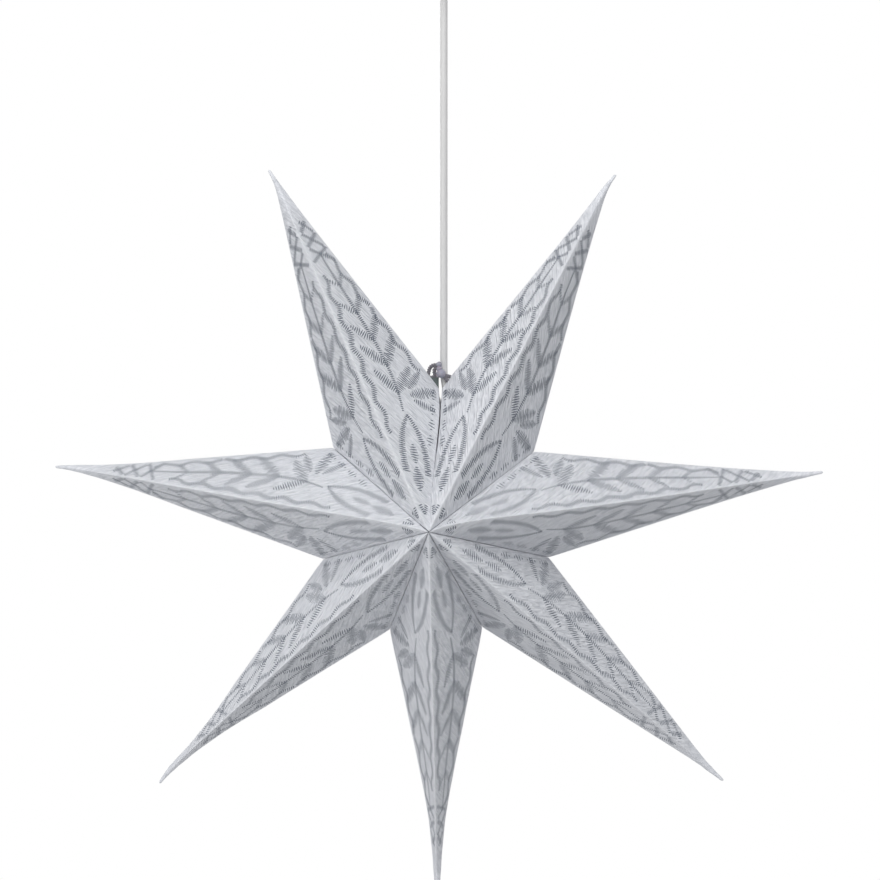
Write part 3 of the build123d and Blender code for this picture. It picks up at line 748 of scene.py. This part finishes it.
def stroke_patches(facet, number):
    """Every stroke as a small lens on the paper, three points long and three wide."""
    verts, faces = [], []
    x, y, turn, length = strokes.T
    clear = ink_clear if number in seam_parts else 0.0
    grid = []
    for u in (-1, 0, 1):
        for v in (-1, 0, 1):
            narrow = 1.0 if u == 0 else stroke_end
            px = x + u * length / 2 * np.cos(turn) - v * narrow * stroke_width / 2 * np.sin(turn)
            py = y + u * length / 2 * np.sin(turn) + v * narrow * stroke_width / 2 * np.cos(turn)
            grid.append((px, py, clear + (ink_middle if v == 0 else ink_edge)))
    to_fold = np.stack([(g[0] - facet_foot) * inward[0] + (g[1] - facet_height) * inward[1] for g in grid])
    valley_length = np.hypot(facet_foot, facet_height)
    to_valley = np.stack([(g[0] * facet_height - g[1] * facet_foot) / valley_length for g in grid])
    to_ridge = np.stack([g[1] for g in grid])
    kept = (np.minimum(np.minimum(to_fold, to_valley), to_ridge) > fold_margin).all(axis=0)
    kept &= np.stack([g[0] for g in grid]).max(axis=0) < print_end
    for px, py, lift in grid:
        share = py[kept] / facet_height
        outward = (px[kept] - share * facet_foot) / facet_length
        verts.append(settle(on_facet(facet, outward, share / (1 - outward), np.full(kept.sum(), lift)), number))
    verts = np.stack(verts, axis=1) + star_centre
    verts = verts[(np.hypot(verts[:, :, 0], verts[:, :, 1]) > cord_hole + hole_margin).all(axis=1)]
    count, verts = len(verts), verts.reshape(-1, 3)
    for k in range(count):
        for a, b in ((0, 1), (1, 2), (3, 4), (4, 5)):
            faces.append((9 * k + a, 9 * k + b, 9 * k + b + 3, 9 * k + a + 3))
    return verts, faces


# Silver-grey ink, screen-printed: blue-grey and nearly matt, each stroke a little raised and a little uneven.
ink_speck = 0.0015
silver_ink = new_material("silver_grey_ink_screen_printed")
_, tone = uneven_tone(silver_ink, ink_speck, "5e646f", "7a808b")
ink = add_node(silver_ink, "ShaderNodeBsdfPrincipled", {"Base Color": tone, "Roughness": 0.6, "IOR": 1.45})
add_node(silver_ink, "ShaderNodeOutputMaterial", {"Surface": ink.outputs["BSDF"]})

for number, (name, angle) in enumerate(zip(arm_names, arm_angles), 1):
    verts, faces = [], []
    for facet in arm_facets[name]:
        patch_verts, patch_faces = stroke_patches(facet, number)
        offset = sum(len(v) for v in verts)
        verts.append(patch_verts)
        faces += [tuple(i + offset for i in face) for face in patch_faces]
    mesh = new_mesh(f"ornament_{number}", np.concatenate(verts), faces)
    shade_smooth(mesh)
    mesh.materials.append(silver_ink)
    print_object = add_object(f"ornament_{number}", mesh)
    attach(print_object, name)
    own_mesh(print_object)


# Tie string
# A three-ply grey string through the edges of the two seam arms, tied in front of the cord to keep the star
# open. The knot and the stopper above it are sealed with wax. A dark card tab behind the last arm's edge is
# painted shade: it stands where the inside of the open seam lies in shade.

string_radius = 0.0016
string_step = 0.0004
ply_lay = 0.0052               # one full twist of the plies
ply_share = 0.52               # a ply's radius as a share of the string's
string_marks = (               # mm from the cord's axis, and above the seam's corner
    [(-12.4, -0.4, 9.9), (-11.8, -1.8, 12.8), (-10.7, -3.2, 16.6),
     (-8.5, -4.6, 18.4), (-6.0, -5.2, 18.7), (-3.7, -5.4, 18.9)],
    [(-4.4, -5.2, 17.6), (-7.0, -4.8, 15.9), (-7.3, -4.2, 12.7),
     (-6.2, -3.2, 10.0), (-7.8, -1.8, 9.2), (-10.6, -0.3, 8.8)],
    [(0.0, -6.0, 10.0), (1.2, -5.4, 8.6), (2.4, -4.6, 7.2), (3.4, -4.0, 6.2), (4.6, -2.4, 5.4)],
    [(0.4, -5.4, 10.6), (2.4, -5.0, 10.1), (4.2, -3.8, 9.9), (5.3, -2.2, 9.2), (5.0, -0.8, 8.0)],
)
string_routes = [[(x / 1000, y / 1000, z / 1000 + corner_z) for x, y, z in marks] for marks in string_marks]


def route_points(points, spacing):
    """Evenly spaced points read from the smooth curve on a route."""
    guide = add_object("string_route", nurbs_curve("string_route", points))
    guide_mesh = bpy.data.meshes.new_from_object(guide.evaluated_get(bpy.context.evaluated_depsgraph_get()))
    line = np.array([v.co for v in guide_mesh.vertices])
    bpy.data.objects.remove(guide)
    run = np.concatenate([[0], np.cumsum(np.linalg.norm(np.diff(line, axis=0), axis=1))])
    at = np.linspace(0, run[-1], int(run[-1] / spacing))
    return np.stack([np.interp(at, run, line[:, k]) for k in range(3)], axis=1), at


def twisted_plies(points, at, radius, sides=8):
    """Three round plies twisted about a line."""
    heading = np.gradient(points, axis=0)
    heading /= np.linalg.norm(heading, axis=1)[:, None]
    aside = unit(np.cross(heading[0], [0.3, 0.9, 0.2]))
    sides_u = []
    for h in heading:
        aside = unit(aside - h * (aside @ h))
        sides_u.append(aside)
    sides_u = np.array(sides_u)
    sides_v = np.cross(heading, sides_u)
    ply_radius = radius * ply_share
    verts, faces = [], []
    for ply in range(3):
        turn = tau * (at / ply_lay + ply / 3)
        middle = points + (radius - ply_radius) * (np.cos(turn)[:, None] * sides_u + np.sin(turn)[:, None] * sides_v)
        offset = len(verts)
        for k in range(len(points)):
            for j in range(sides):
                a = tau * j / sides
                verts.append(tuple(middle[k] + ply_radius * (cos(a) * sides_u[k] + sin(a) * sides_v[k])))
        for k in range(len(points) - 1):
            for j in range(sides):
                i, n = offset + k * sides, (j + 1) % sides
                faces.append((i + j, i + n, i + sides + n, i + sides + j))
        faces.append(tuple(offset + j for j in reversed(range(sides))))
        faces.append(tuple(offset + (len(points) - 1) * sides + j for j in range(sides)))
    return verts, faces


string_verts, string_faces = [], []
for route in string_routes:
    verts, faces = twisted_plies(*route_points(route, string_step), string_radius)
    offset = len(string_verts)
    string_verts += verts
    string_faces += [tuple(i + offset for i in face) for face in faces]
string_mesh = new_mesh("seam_string", string_verts, string_faces)
shade_smooth(string_mesh)
seam_string = add_object("seam_string", string_mesh)

# Cotton, spun and plied: lilac-grey and matt, with fine fibres that catch the light.
fibre = 0.00025
cotton = new_material("cotton_string_plied_grey")
fibres, tone = uneven_tone(cotton, fibre, "5f5d64", "98949b", detail=3.0)
relief = add_node(cotton, "ShaderNodeBump", {"Height": fibres, "Strength": 0.6, "Distance": 0.00015})
yarn = add_node(cotton, "ShaderNodeBsdfPrincipled",
                {"Base Color": tone, "Roughness": 0.85, "Sheen Weight": 0.3, "Sheen Roughness": 0.5,
                 "Normal": relief.outputs["Normal"]})
add_node(cotton, "ShaderNodeOutputMaterial", {"Surface": yarn.outputs["BSDF"]})
string_mesh.materials.append(cotton)
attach(seam_string, "arm_1")
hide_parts("tie_string")

# Wax, dipped by hand: lavender-grey, smooth and faintly glossy, cloudy where the string shows through.
seal_cloud = 0.0025
wax = new_material("wax_dipped_lavender_grey")
_, tone = uneven_tone(wax, seal_cloud, "918f9b", "b5b3c0")
skin = add_node(wax, "ShaderNodeBsdfPrincipled",
                {"Base Color": tone, "Roughness": 0.38, "IOR": 1.44, "Subsurface Weight": 0.1,
                 "Subsurface Scale": 0.001})
add_node(wax, "ShaderNodeOutputMaterial", {"Surface": skin.outputs["BSDF"]})

seal_sides, seal_rows = 24, 14
seal_verts, seal_faces = [], []
for middle, radius in (((-2.0, -6.2, 11.9), 3.6), ((-3.2, -5.5, 15.8), 2.4), ((-3.6, -5.4, 19.1), 2.25)):
    offset = len(seal_verts)
    for turn in np.linspace(0, pi, seal_rows + 1):
        for around in np.arange(seal_sides) * tau / seal_sides:
            way = np.array([sin(turn) * cos(around), sin(turn) * sin(around), cos(turn)])
            lump = 1 + 0.05 * sin(3.1 * way[0] + 2.3 * way[1] + middle[2]) + 0.04 * cos(4.2 * way[2] - 2.0 * way[0])
            point = (np.array(middle) + radius * lump * way) / 1000 + np.array([0, 0, corner_z])
            seal_verts.append(tuple(point))
    for k in range(seal_rows):
        upper, lower = offset + seal_sides * k, offset + seal_sides * (k + 1)
        for j in range(seal_sides):
            n = (j + 1) % seal_sides
            seal_faces.append((upper + j, lower + j, lower + n, upper + n))
seal_mesh = new_mesh("knot_seal", seal_verts, seal_faces)
shade_smooth(seal_mesh)
seal_mesh.materials.append(wax)
knot_seal = add_object("knot_seal", seal_mesh)
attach(knot_seal, "arm_1")

# A dull green-grey sheet with card-like fibres, darker than the paper in front of it: painted shade where the
# inside of the open seam lies in shade.
card_fibre = 0.0009
shade_card = new_material("card_die_cut_painted_shade")
_, tone = uneven_tone(shade_card, card_fibre, "4a5251", "7b8583", detail=3.0)
face = add_node(shade_card, "ShaderNodeBsdfPrincipled", {"Base Color": tone, "Roughness": 0.9})
add_node(shade_card, "ShaderNodeOutputMaterial", {"Surface": face.outputs["BSDF"]})

# The tab's corners, in mm from the cord's axis and above the seam's corner.
tab_outline = [(-10.4, 9.3), (-7.2, 8.8), (-3.7, 9.5), (-3.7, 0.5), (-5.6, -4.0), (-10.0, -1.0), (-12.4, 5.0)]
tab_front, tab_back = -0.0039, -0.0035
tab_verts = [(x / 1000, y, z / 1000 + corner_z) for y in (tab_front, tab_back) for x, z in tab_outline]
count = len(tab_outline)
tab_faces = [tuple(range(count)), tuple(reversed(range(count, 2 * count)))]
tab_faces += [(j, j + count, (j + 1) % count + count, (j + 1) % count) for j in range(count)]
# The dark tab is painted shade inside the open seam.
tab_mesh = new_mesh("painted_shade_tab", tab_verts, tab_faces)
tab_mesh.materials.append(shade_card)
painted_shade_tab = add_object("painted_shade_tab", tab_mesh)
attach(painted_shade_tab, "arm_7")
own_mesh(painted_shade_tab)


# Floor and backdrop
# A plain pale floor well below the lantern and a white room round it.

floor_drop = 1.7
floor_size = 30.0
corners = [(-floor_size, -floor_size), (floor_size, -floor_size), (floor_size, floor_size), (-floor_size, floor_size)]
floor_mesh = new_mesh("floor", [(x, y, -floor_drop) for x, y in corners], [(0, 1, 2, 3)])
floor = add_object("floor", floor_mesh)


def seen_directly(owner):
    """One for what is looked at straight on, in a reflection or through glass, and zero for the light it sends."""
    ray = add_node(owner, "ShaderNodeLightPath")
    seen = add_node(owner, "ShaderNodeMath", {0: ray.outputs["Is Camera Ray"], 1: ray.outputs["Is Glossy Ray"]},
                    operation="MAXIMUM")
    seen = add_node(owner, "ShaderNodeMath", {0: seen.outputs[0], 1: ray.outputs["Is Transmission Ray"]},
                    operation="MAXIMUM")
    return seen.outputs[0]


pale_floor = new_material("studio_floor_white")
matt = add_node(pale_floor, "ShaderNodeBsdfDiffuse", {"Color": linear("e8e8e8")})
white = add_node(pale_floor, "ShaderNodeEmission", {"Color": (1, 1, 1, 1), "Strength": 1.0})
both = add_node(pale_floor, "ShaderNodeMixShader",
                {0: seen_directly(pale_floor), 1: matt.outputs[0], 2: white.outputs[0]})
add_node(pale_floor, "ShaderNodeOutputMaterial", {"Surface": both.outputs[0]})
floor_mesh.materials.append(pale_floor)

world = bpy.data.worlds.new("studio")
world.use_nodes = True
world.node_tree.nodes.clear()
bpy.context.scene.world = world
room = add_node(world, "ShaderNodeBackground", {"Color": linear("f2f5fa"), "Strength": 0.36})
white = add_node(world, "ShaderNodeBackground", {"Color": (1, 1, 1, 1), "Strength": 1.0})
both = add_node(world, "ShaderNodeMixShader", {0: seen_directly(world), 1: room.outputs[0], 2: white.outputs[0]})
add_node(world, "ShaderNodeOutputWorld", {"Surface": both.outputs[0]})


# Studio light
# A large soft box above and in front of the star, one from the left, and one behind that lights only the back.

for name, place, size, power in (("overhead_box", (0.2, -1.8, 1.6), 2.0, 34.0),
                                 ("left_box", (-3.4, -2.3, 0.4), 2.5, 36.0),
                                 ("back_box", (-0.6, 2.4, 0.9), 1.6, 24.0)):
    lamp = bpy.data.lights.new(name, "AREA")
    lamp.shape = "SQUARE"
    lamp.size = size
    lamp.energy = power
    box = add_object(name, lamp)
    box.location = Vector(star_centre) + Vector(place)
    box.rotation_mode = "QUATERNION"
    box.rotation_quaternion = (-Vector(place)).to_track_quat("-Z", "Y")


# Camera
# Where the photograph was taken from, a little above the star's middle and to its right.

camera_azimuth, camera_elevation = radians(2.77), radians(2.55)
camera_distance = 1.468
camera_target = Vector(star_centre) + Vector((0.0037, 0, 0.0627))
focal_pixels, image_pixels = 1898, 880
camera_data = bpy.data.cameras.new("camera")
camera_data.sensor_width = 36.0
camera_data.lens = camera_data.sensor_width * focal_pixels / image_pixels
camera = add_object("camera", camera_data)
back = Vector((sin(camera_azimuth) * cos(camera_elevation), -cos(camera_azimuth) * cos(camera_elevation),
               sin(camera_elevation)))
camera.location = camera_target + camera_distance * back
camera.rotation_mode = "QUATERNION"
camera.rotation_quaternion = (-back).to_track_quat("-Z", "Y")
bpy.context.scene.camera = camera
